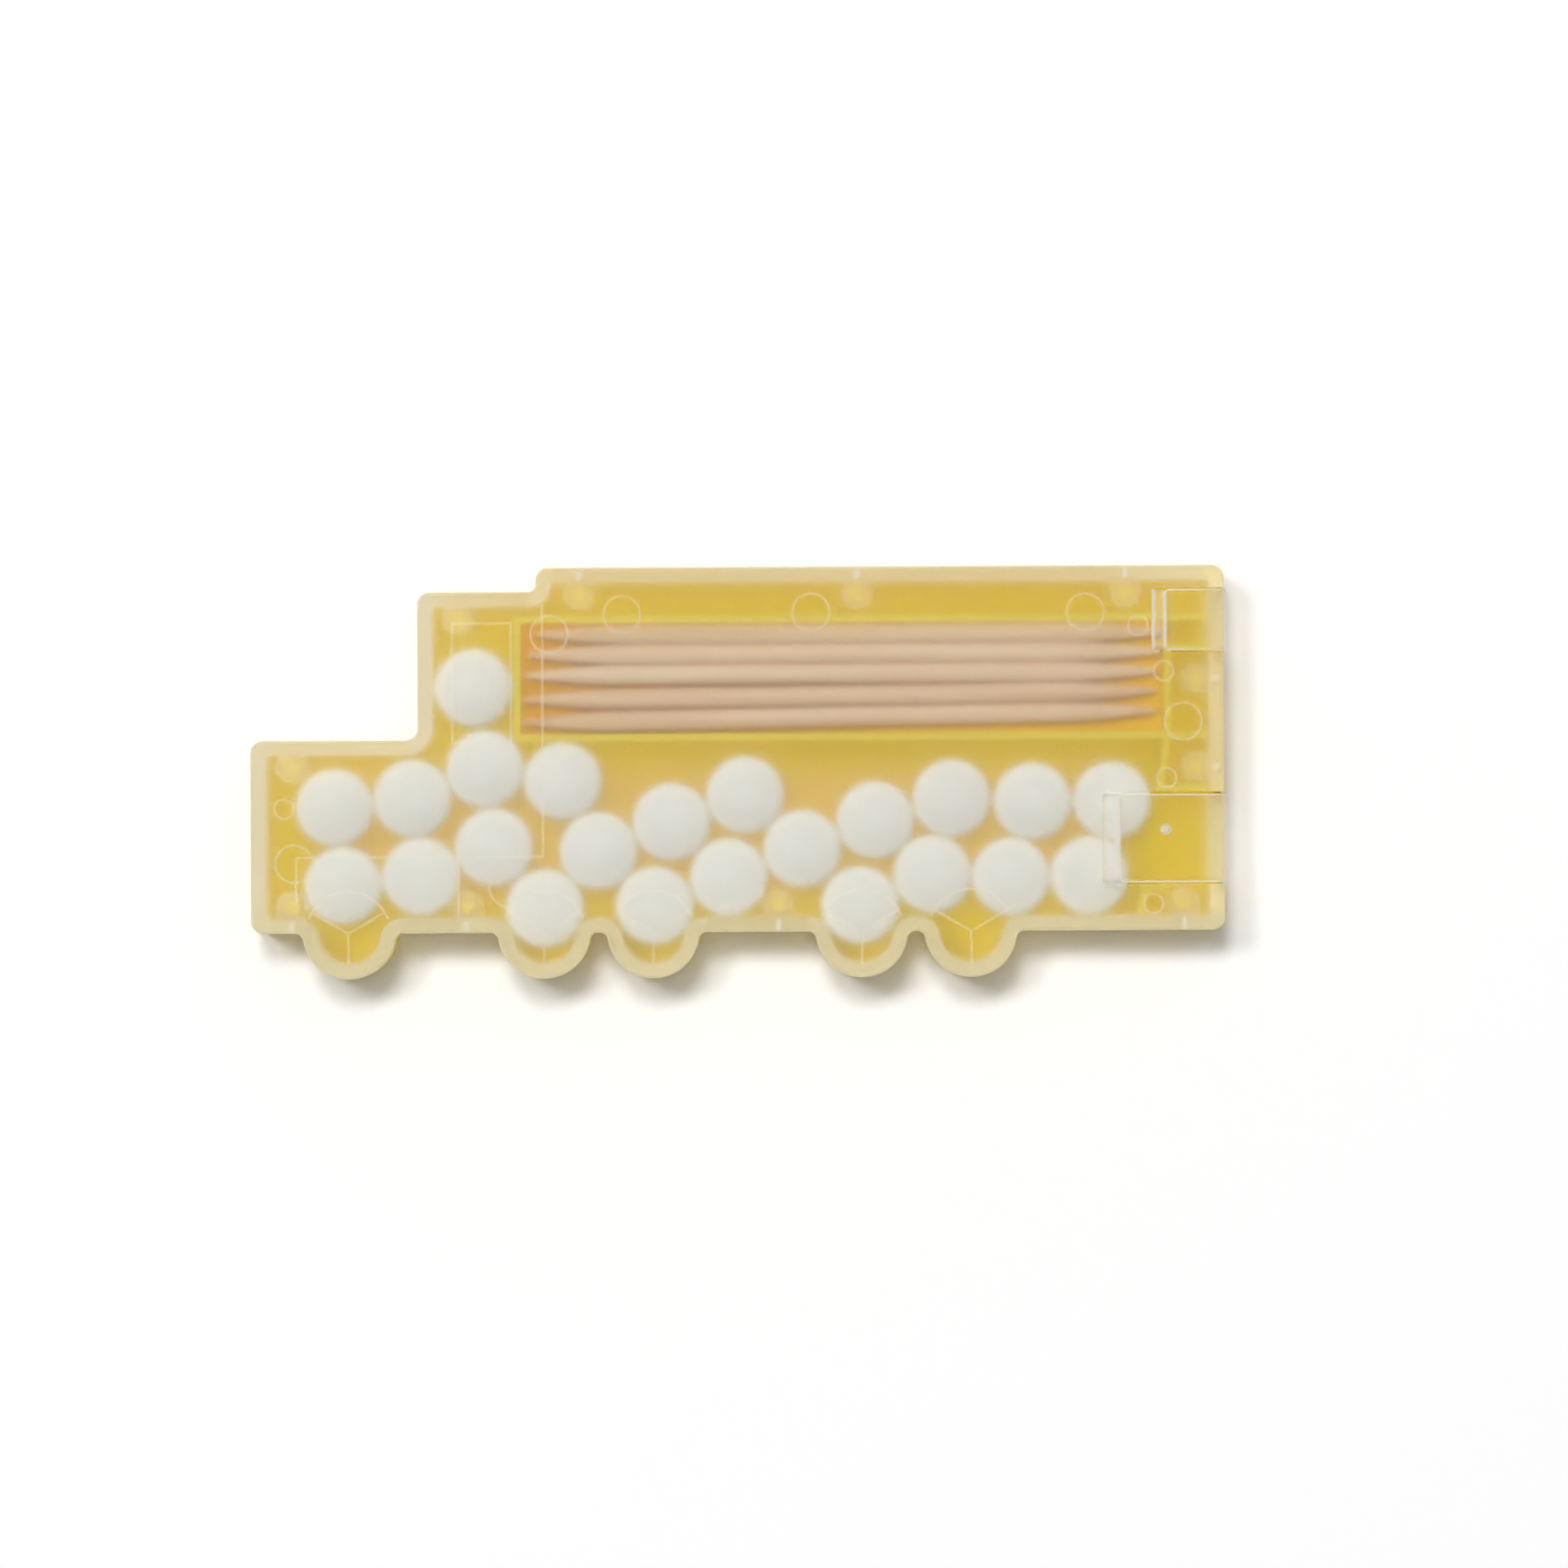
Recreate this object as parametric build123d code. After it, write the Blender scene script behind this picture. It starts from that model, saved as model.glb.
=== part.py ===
from build123d import *

import math
import os

# A flat pocket case in the outline of a lorry, for a layer of mint balls and a row of toothpicks.
# Sizes are in millimetres. The case lies on its back: X runs from the hood to the tail, Y from the
# wheels to the roof and Z out of the front face. The origin is mid case, on the back face.

# Contents
mint_diameter = 8.0
mint_depth_play = 0.4
toothpick_length = 65.0
toothpick_diameter = 2.0
toothpick_count = 5
toothpick_taper_length = 10.0
toothpick_tip_radius = 0.22
toothpick_end_play = 0.85
toothpick_side_play = 1.4
contents_gap = 0.05

# Walls of the two shells
wall = 1.5
rear_plate = 1.2
front_plate = 1.2
seam_height = 5.4
rib = 0.7
rib_top_gap = 1.2
edge_radius = 0.45

# Outline of the lorry
hood_length = 17.1
hood_height = 19.7
cab_length = 12.1
cab_drop = 2.45
trailer_setback = 1.65
corner_radius = 1.3
hood_step_radius = 1.3
roof_step_radius = 0.8
wheel_radius = 4.7
wheel_fillet = 0.85
front_axle = 9.95
drive_axle_setback = 0.7
trailer_axle_setback = 33.15
axle_gap = 0.18
step_corner_share = 0.54
step_hollow_share = 0.95

# Chambers
mint_chamber_height = 18.05
roof_gap = 3.4
exit_bay = 3.85
partition_lean = 2.9
toothpick_exit_play = 0.4
mint_exit_play = 1.45
mint_exit_drop_share = 0.634

# Flaps over the two exits, and the thin webs that they hinge on
slit = 0.2
nail_gap = 0.5
toothpick_flap_width = 6.25
toothpick_web_length = 1.1
mint_flap_length = 10.8
mint_web_length = 1.4
web_thickness = 0.35
flap_corner_radius = 0.5
gate_mark_radius = 0.6
gate_mark_depth = 0.12
gate_mark_along_share = 0.44
gate_mark_across_share = 0.6

# Posts that hold the front shell on the pins of the rear shell
boss_radius = 1.55
boss_wall_overlap = 0.35
boss_floor_gap = 0.1
boss_end_inset = 4.05
pin_radius = 0.75
pin_length = 4.6
pin_fit = 0.03
pin_end_gap = 0.3
rim_pocket_width = 0.5
rim_pocket_reach = 0.85
rim_pocket_depth = 2.6

# Lines cut into the front face, and the rings that the ejectors leave inside it
line_width = 0.25
line_depth = 0.16
wheel_line_radius = 4.3
spoke_angle = 30.0
door_line_setback = 0.65
belt_line_rise = 7.75
belt_line_inset = 4.65
belt_line_drop = 4.3
sill_line_inset = 21.2
sill_line_drop = 6.4
window_inset = 3.55
window_drop = 3.2
window_width = 6.0
window_height = 12.2
ring_line_width = 0.16
ring_line_depth = 0.08
large_ring_radius = 1.9
small_ring_radius = 1.0

# How the contents lie. A mint's place is a share of the length of the hood, the cab or the toothpick
# compartment that it lies beside, and a share of the mint chamber's height over its floor.
hood_mint_shares = ((0.492, 0.627), (0.959, 0.678), (0.539, 0.184), (1.007, 0.234))
cab_mint_shares = ((0.461, 1.306), (0.561, 0.842), (0.628, 0.399))
trailer_mint_shares = (
    (0.040, 0.765), (0.091, 0.360), (0.011, 0.027), (0.183, 0.063), (0.204, 0.533), (0.319, 0.683),
    (0.298, 0.211), (0.410, 0.386), (0.525, 0.544), (0.499, 0.053), (0.644, 0.658), (0.611, 0.228),
    (0.771, 0.645), (0.733, 0.220), (0.893, 0.635), (0.855, 0.211),
)
mint_fill_share = 0.63
# A toothpick's lie is its place along the end play, and how far its two ends drop into the side play.
toothpick_lie_shares = (
    (1.60, 0.05, 0.02), (0.75, 0.12, 0.04), (0.40, 0.20, 0.06),
    (0.20, 0.57, 0.08), (0.12, 0.80, 0.11),
)
roof_boss_shares = (0.062, 0.467, 0.858)
floor_boss_share = 0.6
toothpick_end_boss_share = 0.777
mint_end_boss_share = 0.12
large_ring_shares = (
    (0.307, 0.839), (0.382, 0.886), (0.576, 0.890), (0.858, 0.887), (0.958, 0.620),
    (0.044, 0.282), (0.264, 0.221),
)
small_ring_shares = (
    (0.034, 0.416), (0.912, 0.853), (0.938, 0.743), (0.941, 0.482), (0.927, 0.176),
)

# Settling of the mints
settle_rounds = 300
settle_share = 0.7
settle_tolerance = 0.002
sample_pitch = 0.4

cut_overrun = 1.0

# Sizes that follow
inner_depth = mint_diameter + mint_depth_play
case_depth = rear_plate + inner_depth + front_plate
front_underside = case_depth - front_plate
compartment_length = toothpick_length + toothpick_end_play
compartment_height = toothpick_count * toothpick_diameter + toothpick_side_play
trailer_length = compartment_length - trailer_setback + rib + exit_bay + wall
trailer_height = wall + mint_chamber_height + rib + compartment_height + rib + roof_gap + wall
case_length = hood_length + cab_length + trailer_length
case_height = trailer_height + wheel_radius

# Places along X
left = -case_length / 2
right = case_length / 2
cab_front = left + hood_length
trailer_front = cab_front + cab_length
tail_face = right - wall
compartment_left = trailer_front - trailer_setback
compartment_right = compartment_left + compartment_length
wheel_reach = math.sqrt(wheel_radius**2 + 2 * wheel_radius * wheel_fillet)
axle_pitch = 2 * wheel_reach + axle_gap
wheel_places = (
    left + front_axle,
    trailer_front + drive_axle_setback,
    trailer_front + drive_axle_setback + axle_pitch,
    trailer_front + trailer_axle_setback,
    trailer_front + trailer_axle_setback + axle_pitch,
)

# Places along Y
base = -case_height / 2
roof = case_height / 2
chassis = base + wheel_radius
floor_face = chassis + wall
hood_top = chassis + hood_height
cab_top = roof - cab_drop
shelf_low = floor_face + mint_chamber_height
compartment_low = shelf_low + rib
compartment_high = compartment_low + compartment_height
channel_low = compartment_high - toothpick_diameter - toothpick_exit_play
tail_post_room = rib + 2 * (boss_radius + slit)
mint_exit_height = mint_diameter + mint_exit_play
mint_exit_drop = max(mint_exit_drop_share * (mint_chamber_height - mint_exit_height), tail_post_room)
mint_exit_high = shelf_low - mint_exit_drop
mint_exit_low = mint_exit_high - mint_exit_height
toothpick_flap_low = channel_low - rib
toothpick_flap_high = toothpick_flap_low + toothpick_flap_width
mint_flap_low = mint_exit_low + slit
mint_flap_high = mint_exit_high - slit
mint_flap_hinge_side = right - mint_flap_length

boss_inset = wall + boss_radius - boss_wall_overlap


def block(x_low, x_high, y_low, y_high, z_low, z_high):
    """A box between two corners."""
    size = Box(x_high - x_low, y_high - y_low, z_high - z_low)
    return Pos((x_low + x_high) / 2, (y_low + y_high) / 2, (z_low + z_high) / 2) * size


def plate(x_low, x_high, y_low, y_high):
    """A flat rectangle between two corners."""
    return Pos((x_low + x_high) / 2, (y_low + y_high) / 2) * Rectangle(x_high - x_low, y_high - y_low)


def prism(face, z_low, z_high):
    """A flat face drawn up from one height to another."""
    return extrude(Pos(0, 0, z_low) * face, amount=z_high - z_low, dir=(0, 0, 1))


def bar(start, end, width):
    """A flat strip of the given width along a line."""
    run = Vector(*end) - Vector(*start)
    middle = (Vector(*end) + Vector(*start)) / 2
    turn = math.degrees(math.atan2(run.Y, run.X))
    return Pos(middle.X, middle.Y) * Rot(0, 0, turn) * Rectangle(run.length + width, width)


def ring(x, y, radius, width):
    """A flat ring about a point."""
    return Pos(x, y) * (Circle(radius + width / 2) - Circle(radius - width / 2))


def joined(faces):
    """Flat faces fused into one sketch."""
    return Sketch() + list(faces)


def wheel_bump(x, inset):
    """The half wheel under the chassis and its hollow fillets, drawn in from the outline by inset."""
    lean = math.atan2(wheel_fillet, wheel_reach)
    tread = wheel_radius - inset
    hollow = wheel_fillet + inset
    middle_of_fillet = (math.pi / 2 + lean) / 2 + math.pi / 2 - lean
    touch = Vector(tread * math.cos(lean), -tread * math.sin(lean))
    shoulder = Vector(wheel_reach, inset)
    toward_dip = Vector(math.cos(middle_of_fillet), math.sin(middle_of_fillet))
    dip = Vector(wheel_reach, -wheel_fillet) + toward_dip * hollow
    top = Vector(wheel_reach, inset + wall)

    def mirrored(point):
        return Vector(-point.X, point.Y)

    edges = [
        Edge.make_line(mirrored(top), mirrored(shoulder)),
        Edge.make_three_point_arc(mirrored(shoulder), mirrored(dip), mirrored(touch)),
        Edge.make_three_point_arc(mirrored(touch), Vector(0, -tread), touch),
        Edge.make_three_point_arc(touch, dip, shoulder),
        Edge.make_line(shoulder, top),
        Edge.make_line(top, mirrored(top)),
    ]
    return Pos(x, chassis) * Sketch(Face(Wire(edges)).wrapped)


def outline(inset):
    """The lorry's outline, drawn in by inset all round."""
    outer = max(corner_radius - inset, wall / 10)
    step_corner = min(outer, step_corner_share * cab_drop)
    step_hollow = min(roof_step_radius + inset, step_hollow_share * (cab_drop - step_corner))
    corners = (
        (left + inset, chassis + inset, outer),
        (left + inset, hood_top - inset, outer),
        (cab_front + inset, hood_top - inset, hood_step_radius + inset),
        (cab_front + inset, cab_top - inset, outer),
        (trailer_front + inset, cab_top - inset, step_hollow),
        (trailer_front + inset, roof - inset, step_corner),
        (right - inset, roof - inset, outer),
        (right - inset, chassis + inset, outer),
    )
    points = [(x, y) for x, y, radius in corners]
    radii = [radius for x, y, radius in corners]
    body = make_face(FilletPolyline(*points, radius=radii, close=True))
    return joined([body] + [wheel_bump(x, inset) for x in wheel_places])


def partition_face(y):
    """Where the leaning partition's inner side stands at a height y of the mint chamber."""
    return compartment_right - partition_lean * (shelf_low - y) / mint_chamber_height


def roof_posts():
    """Where the posts under the trailer's roof stand."""
    return [(trailer_front + share * trailer_length, roof - boss_inset) for share in roof_boss_shares]


def floor_posts():
    """Where the posts over the chassis stand: at both ends and between the groups of wheels."""
    front_place, drive_place, drive_rear_place, trailer_place, tail_place = wheel_places
    front_span = front_place + floor_boss_share * (drive_place - front_place)
    rear_span = drive_rear_place + floor_boss_share * (trailer_place - drive_rear_place)
    places = (left + boss_end_inset, front_span, rear_span, right - boss_end_inset)
    return [(x, chassis + boss_inset) for x in places]


def tail_posts():
    """Where the posts against the tail wall stand: one over and one under the shelf."""
    spans = (
        (compartment_low, channel_low - rib, toothpick_end_boss_share),
        (mint_exit_high + rib, shelf_low, mint_end_boss_share),
    )
    room = boss_radius + slit
    return [
        (right - boss_inset, low + room + share * (high - low - 2 * room))
        for low, high, share in spans
    ]


def boss_places():
    """Where all the posts stand, with those of the cab and the hood."""
    cab_post = (cab_front + boss_end_inset, cab_top - boss_inset)
    hood_post = (left + boss_end_inset, hood_top - boss_inset)
    return roof_posts() + floor_posts() + tail_posts() + [cab_post, hood_post]


def rim_pockets():
    """The small pockets in the rim beside the posts, in plan."""
    across = Rectangle(rim_pocket_width, rim_pocket_reach)
    along = Rectangle(rim_pocket_reach, rim_pocket_width)
    pockets = [Pos(x, roof - wall / 2) * across for x, y in roof_posts()]
    pockets += [Pos(x, chassis + wall / 2) * across for x, y in floor_posts()]
    pockets += [Pos(right - wall / 2, y) * along for x, y in tail_posts()]
    return joined(pockets)


def leaning_rib(y_low, y_high):
    """One length of the partition between the mints and the exit bay."""
    low, high = partition_face(y_low), partition_face(y_high)
    corners = ((low, y_low), (high, y_high), (high + rib, y_high), (low + rib, y_low))
    return make_face(Polyline(*corners, close=True))


def rib_layout():
    """The ribs in plan: the toothpick compartment, its channel, and the partition with the mint exit."""
    rib_end = tail_face - slit
    exit_rib_end = right - boss_end_inset - boss_radius - slit
    partition_foot = floor_face + slit
    return joined([
        plate(compartment_left - rib, rib_end, compartment_high, compartment_high + rib),
        plate(compartment_left - rib, rib_end, shelf_low, compartment_low),
        plate(compartment_left - rib, compartment_left, shelf_low, compartment_high + rib),
        plate(compartment_right, compartment_right + rib, shelf_low, channel_low),
        plate(compartment_right, rib_end, channel_low - rib, channel_low),
        leaning_rib(mint_exit_high, shelf_low + rib / 2),
        plate(partition_face(mint_exit_high), rib_end, mint_exit_high, mint_exit_high + rib),
        leaning_rib(partition_foot, mint_exit_low),
        plate(partition_face(mint_exit_low), exit_rib_end, mint_exit_low - rib, mint_exit_low),
    ])


def exits(toothpick_start, mint_start, z_low, z_high):
    """What the two exits take out of a shell, from their starts to past the tail, slits included."""
    past_tail = right + cut_overrun
    toothpick_low = toothpick_flap_low - slit
    toothpick_high = toothpick_flap_high + slit
    return Part() + [
        block(toothpick_start, past_tail, toothpick_low, toothpick_high, z_low, z_high),
        block(mint_start, past_tail, mint_exit_low, mint_exit_high, z_low, z_high),
    ]


def engraved_lines():
    """The lines on the front face in plan: door, belt and sill, the cab window and the spoked wheels."""
    door = trailer_front + door_line_setback
    belt = chassis + belt_line_rise
    window_left = cab_front + window_inset
    window_right = window_left + window_width
    window_top = cab_top - window_drop
    window_low = window_top - window_height
    lines = [
        bar((door, belt), (door, cab_top - wall), line_width),
        bar((left + belt_line_inset, belt), (door, belt), line_width),
        bar((left + belt_line_inset, belt), (left + belt_line_inset, belt - belt_line_drop), line_width),
        bar((left + sill_line_inset, belt), (left + sill_line_inset, belt - sill_line_drop), line_width),
        bar((window_left, window_low), (window_left, window_top), line_width),
        bar((window_right, window_low), (window_right, window_top), line_width),
        bar((window_left, window_low), (window_right, window_low), line_width),
        bar((window_left, window_top), (window_right, window_top), line_width),
    ]
    for x in wheel_places:
        arch = ring(x, chassis, wheel_line_radius, line_width)
        over_rim = plate(x - wheel_radius, x + wheel_radius, floor_face, floor_face + wheel_radius)
        lines.append(arch & over_rim)
        lines.append(bar((x, chassis), (x, chassis - wheel_radius + wall), line_width))
        for turn in (spoke_angle, 180 - spoke_angle):
            reach = Vector(wheel_line_radius, 0).rotate(Axis.Z, turn)
            lines.append(bar((x, chassis), (x + reach.X, chassis + reach.Y), line_width))
    return joined(lines)


def ejector_rings():
    """The rings on the inside of the front plate in plan."""
    large = [
        ring(left + along * case_length, base + up * case_height, large_ring_radius, ring_line_width)
        for along, up in large_ring_shares
    ]
    small = [
        ring(left + along * case_length, base + up * case_height, small_ring_radius, ring_line_width)
        for along, up in small_ring_shares
    ]
    return joined(large + small)


def outer_block():
    """The whole case as one solid block with its long edges rounded."""
    whole = prism(outline(0), 0, case_depth)
    ends = whole.faces().filter_by(Axis.Z).sort_by(Axis.Z)
    return fillet(ends[0].edges() + ends[-1].edges(), edge_radius)


def slab(z_low, z_high):
    """A box across the whole case between two heights."""
    overrun = cut_overrun
    return block(left - overrun, right + overrun, base - overrun, roof + overrun, z_low, z_high)


def make_rear_shell(case):
    """The back plate with its rim, ribs and pins."""
    rim = (case & slab(-cut_overrun, seam_height)) - prism(outline(wall), rear_plate, case_depth)
    rim -= exits(tail_face - slit, tail_face - slit, rear_plate, case_depth)
    ribs = prism(rib_layout(), rear_plate - rear_plate / 2, front_underside - rib_top_gap)
    pins = [Pos(x, y) * Circle(pin_radius) for x, y in boss_places()]
    return rim + ribs + prism(joined(pins), rear_plate - rear_plate / 2, rear_plate + pin_length)


def make_front_shell(case):
    """The front plate with its rim and posts, cut for the flaps."""
    rim = (case & slab(seam_height, case_depth + cut_overrun)) - prism(outline(wall), 0, front_underside)
    posts = joined([Pos(x, y) * Circle(boss_radius) for x, y in boss_places()])
    in_rim = posts & outline(wall / 2)
    bores = joined([Pos(x, y) * Circle(pin_radius + pin_fit) for x, y in boss_places()])
    shell = rim + prism(in_rim, seam_height, case_depth - front_plate / 2)
    shell += prism(posts & outline(wall + slit), rear_plate + boss_floor_gap, seam_height)
    shell -= prism(bores, 0, rear_plate + pin_length + pin_end_gap)
    toothpick_start = compartment_right - toothpick_web_length
    mint_start = mint_flap_hinge_side - mint_web_length
    shell -= exits(toothpick_start, mint_start, 0, case_depth + cut_overrun)
    shell -= prism(engraved_lines(), case_depth - line_depth, case_depth + cut_overrun)
    rings = ejector_rings() & outline(wall)
    shell -= prism(rings, front_underside, front_underside + ring_line_depth)
    return shell - prism(rim_pockets(), seam_height, seam_height + rim_pocket_depth)


def make_flap(case, hinge_side, y_low, y_high):
    """A flap: a plate in the front face and a tail wall that closes the exit."""
    plan = plate(hinge_side, right + cut_overrun, y_low, y_high)
    plan = fillet(plan.vertices().sort_by(Axis.X)[:2], flap_corner_radius)
    flap = case & prism(plan, rear_plate + nail_gap, case_depth)
    hollow = block(
        hinge_side - cut_overrun, tail_face, y_low - cut_overrun, y_high + cut_overrun, 0, front_underside
    )
    return flap - hollow


def make_mint_flap(case):
    """The mint flap, with the round mark that its gate leaves."""
    flap = make_flap(case, mint_flap_hinge_side, mint_flap_low, mint_flap_high)
    x = mint_flap_hinge_side + gate_mark_along_share * mint_flap_length
    y = mint_flap_low + gate_mark_across_share * (mint_flap_high - mint_flap_low)
    mark = Pos(x, y) * Circle(gate_mark_radius)
    return flap - prism(mark, case_depth - gate_mark_depth, case_depth + cut_overrun)


def make_web(hinge_side, length, y_low, y_high):
    """The thin web between the front plate and a flap."""
    return block(hinge_side - length, hinge_side, y_low, y_high, case_depth - web_thickness, case_depth)


def free_floor():
    """The floor that is open to the mints, in plan."""
    posts = joined([Pos(x, y) * Circle(boss_radius) for x, y in boss_places()])
    compartment = plate(compartment_left - rib, right, shelf_low, roof)
    return outline(wall) - rib_layout() - posts - compartment


def wall_points():
    """Points along everything that a mint can lean against, in plan."""
    points = []
    for edge in free_floor().edges():
        steps = max(2, math.ceil(edge.length / sample_pitch))
        points += [edge.position_at(step / steps) for step in range(steps + 1)]
    return [(point.X, point.Y) for point in points]


def push_from(place, other, least):
    """How far a place must move to keep the least distance from another."""
    away_x, away_y = place[0] - other[0], place[1] - other[1]
    gap = math.hypot(away_x, away_y)
    share = max(least - gap, 0) / gap
    return away_x * share, away_y * share


def started_mints():
    """Where the mints start: as many of the chosen places as the open floor takes."""
    groups = (
        (left, hood_length, hood_mint_shares),
        (cab_front, cab_length, cab_mint_shares),
        (trailer_front, compartment_length, trailer_mint_shares),
    )
    places = [
        (start + along * length, floor_face + up * mint_chamber_height)
        for start, length, shares in groups
        for along, up in shares
    ]
    mint_area = math.pi * mint_diameter**2 / 4
    return places[: math.floor(mint_fill_share * free_floor().area / mint_area)]


def pushed_apart(places, walls):
    """Mint places pushed from where they are until they keep clear of the walls and of each other."""
    reach = mint_diameter / 2 + contents_gap
    apart = mint_diameter + contents_gap
    near_walls = [[point for point in walls if math.dist(point, place) < 2 * apart] for place in places]
    places = list(places)
    for _ in range(settle_rounds):
        settled = True
        for index, place in enumerate(places):
            near = [other for other in places if other is not place and math.dist(other, place) < apart]
            nearest = min(near_walls[index], key=lambda point: math.dist(point, place))
            pushes = [push_from(place, nearest, reach)]
            pushes += [push_from(place, other, apart) for other in near]
            shift_x, shift_y = sum(push[0] for push in pushes), sum(push[1] for push in pushes)
            settled = settled and math.hypot(shift_x, shift_y) < settle_tolerance
            places[index] = (place[0] + settle_share * shift_x, place[1] + settle_share * shift_y)
        if settled:
            break
    return places


def mint_room(place, places, walls, floor):
    """The least gap about a mint, or a full mint less than nothing where it has left the floor."""
    if not any(face.is_inside(Vector(*place)) for face in floor.faces()):
        return -mint_diameter
    gaps = [math.dist(place, other) - mint_diameter for other in places if other is not place]
    return min(gaps + [math.dist(place, point) - mint_diameter / 2 for point in walls])


def settled_mints():
    """Mint places once all lie clear; the one with the least room goes while any still overlap."""
    floor = free_floor()
    walls = wall_points()
    places = pushed_apart(started_mints(), walls)
    rooms = [mint_room(place, places, walls, floor) for place in places]
    while min(rooms) < contents_gap / 2:
        places.pop(rooms.index(min(rooms)))
        places = pushed_apart(places, walls)
        rooms = [mint_room(place, places, walls, floor) for place in places]
    return places


def make_mint(x, y):
    """One mint, resting on the back plate."""
    return Pos(x, y, rear_plate + contents_gap + mint_diameter / 2) * Sphere(mint_diameter / 2)


def make_toothpick(row, along, left_drop, right_drop):
    """One toothpick, pointed at both ends, lying on the back plate in its row."""
    half = toothpick_length / 2
    radius = toothpick_diameter / 2
    shoulder = half - toothpick_taper_length
    taper = TangentArc((shoulder, radius), (half, toothpick_tip_radius), tangent=(1, 0))
    end_and_axis = Polyline((half, toothpick_tip_radius), (half, 0), (0, 0), (0, radius))
    profile = Line((0, radius), (shoulder, radius)) + taper + end_and_axis
    half_pick = revolve(make_face(profile), Axis.X)
    pick = half_pick + mirror(half_pick, Plane.YZ)
    row_top = compartment_high - radius - contents_gap / 2 - row * toothpick_diameter
    left_y = row_top - left_drop * toothpick_side_play
    right_y = row_top - right_drop * toothpick_side_play
    x = compartment_left + half + contents_gap + along * (toothpick_end_play - contents_gap)
    turn = math.degrees(math.asin((right_y - left_y) / toothpick_length))
    return Pos(x, (left_y + right_y) / 2, rear_plate + contents_gap + radius) * Rot(0, 0, turn) * pick


def main():
    """Makes every piece and writes it to its own file."""
    os.makedirs("parts", exist_ok=True)
    case = outer_block()
    pieces = {
        "rear_shell": make_rear_shell(case),
        "front_shell": make_front_shell(case),
        "toothpick_flap": make_flap(case, compartment_right, toothpick_flap_low, toothpick_flap_high),
        "mint_flap": make_mint_flap(case),
        "toothpick_flap_hinge": make_web(
            compartment_right, toothpick_web_length, toothpick_flap_low, toothpick_flap_high
        ),
        "mint_flap_hinge": make_web(mint_flap_hinge_side, mint_web_length, mint_flap_low, mint_flap_high),
    }
    for number, (x, y) in enumerate(settled_mints(), start=1):
        pieces[f"mint_{number:02d}"] = make_mint(x, y)
    for row in range(toothpick_count):
        lie = toothpick_lie_shares[row % len(toothpick_lie_shares)]
        pieces[f"toothpick_{row + 1}"] = make_toothpick(row, *lie)
    for name, piece in pieces.items():
        export_step(piece, f"parts/{name}.step")


main()
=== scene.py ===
"""Looks of a flat see-through pocket case in the outline of a lorry, with its mints and toothpicks."""

import logging
import math
import random
from dataclasses import dataclass
from enum import Enum
from functools import cached_property
from typing import Mapping, Optional, Sequence, Union

import bmesh
import bpy
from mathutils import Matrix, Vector


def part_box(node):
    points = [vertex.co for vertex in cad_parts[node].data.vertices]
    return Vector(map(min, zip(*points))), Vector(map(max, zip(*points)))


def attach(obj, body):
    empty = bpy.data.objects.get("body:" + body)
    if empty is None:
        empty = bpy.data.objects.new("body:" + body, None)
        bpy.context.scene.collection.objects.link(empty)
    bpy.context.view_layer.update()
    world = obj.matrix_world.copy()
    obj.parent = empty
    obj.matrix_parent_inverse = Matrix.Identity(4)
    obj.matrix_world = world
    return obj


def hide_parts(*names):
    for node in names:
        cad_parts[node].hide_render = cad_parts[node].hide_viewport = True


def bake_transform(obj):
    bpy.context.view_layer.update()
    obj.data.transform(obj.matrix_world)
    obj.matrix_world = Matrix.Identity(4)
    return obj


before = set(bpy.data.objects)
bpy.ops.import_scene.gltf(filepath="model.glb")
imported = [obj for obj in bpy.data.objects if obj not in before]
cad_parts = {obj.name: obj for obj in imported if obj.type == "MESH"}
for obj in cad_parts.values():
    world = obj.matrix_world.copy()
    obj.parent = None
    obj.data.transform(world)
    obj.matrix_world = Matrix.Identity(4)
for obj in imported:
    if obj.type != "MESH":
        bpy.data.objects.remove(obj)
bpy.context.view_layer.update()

LOG = logging.getLogger("pocket_case")
MM = 0.001
FRONT_FACE = 10.8 * MM
SEAM_HEIGHT = 5.4 * MM

# Places past which the outer walls of the tail and of the chassis stand.
TAIL_WALL = 48.9 * MM
CHASSIS_WALL = -15.5 * MM

# Stretches over which the rim's tone turns towards the cab, the tail and the chassis: painted light makes it
# paler at the cab and the tail, and painted shade darker along the chassis, away from the lamps.
CAB_FADE = (-22.0 * MM, -32.0 * MM)
TAIL_FADE = (47.6 * MM, 48.4 * MM)
CHASSIS_FADE = (-13.4 * MM, -14.8 * MM)

Owner = Union[bpy.types.Material, bpy.types.World]
Socket = bpy.types.NodeSocket
Sockets = Mapping[str, Socket]
Number = Union[float, Socket]
Colour = tuple[float, float, float]
Paint = Union[Colour, Socket]
Place = tuple[float, float]
Range = tuple[float, float]
Point = Sequence[float]
Face = tuple[int, ...]


class Body(Enum):
    """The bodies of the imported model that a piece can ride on."""

    CASE = "case"
    TOOTHPICK_FLAP = "toothpick_flap"
    MINT_FLAP = "mint_flap"


@dataclass(frozen=True)
class Zone:
    """A rectangle in the plan of the case, by its lower and upper corners and the width of its soft edge."""

    low: Place
    high: Place
    soft: float = 0.01 * MM


@dataclass(frozen=True)
class WallShares:
    """How much of the lamps' light goes into the walls that face them, the tail wall and the chassis."""

    open: float
    tail: float
    chassis: float


@dataclass(frozen=True)
class Cloud:
    """A cloudy pattern: how fine it is along each axis, its levels of detail and how strong they are."""

    fineness: tuple[float, float, float]
    detail: float
    strength: float


@dataclass(frozen=True)
class Relief:
    """How far a pattern stands out of a surface: its strength and its depth."""

    strength: float
    depth: float


def grey(value: float) -> Colour:
    """The same value for red, green and blue."""
    return (value, value, value)


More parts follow.
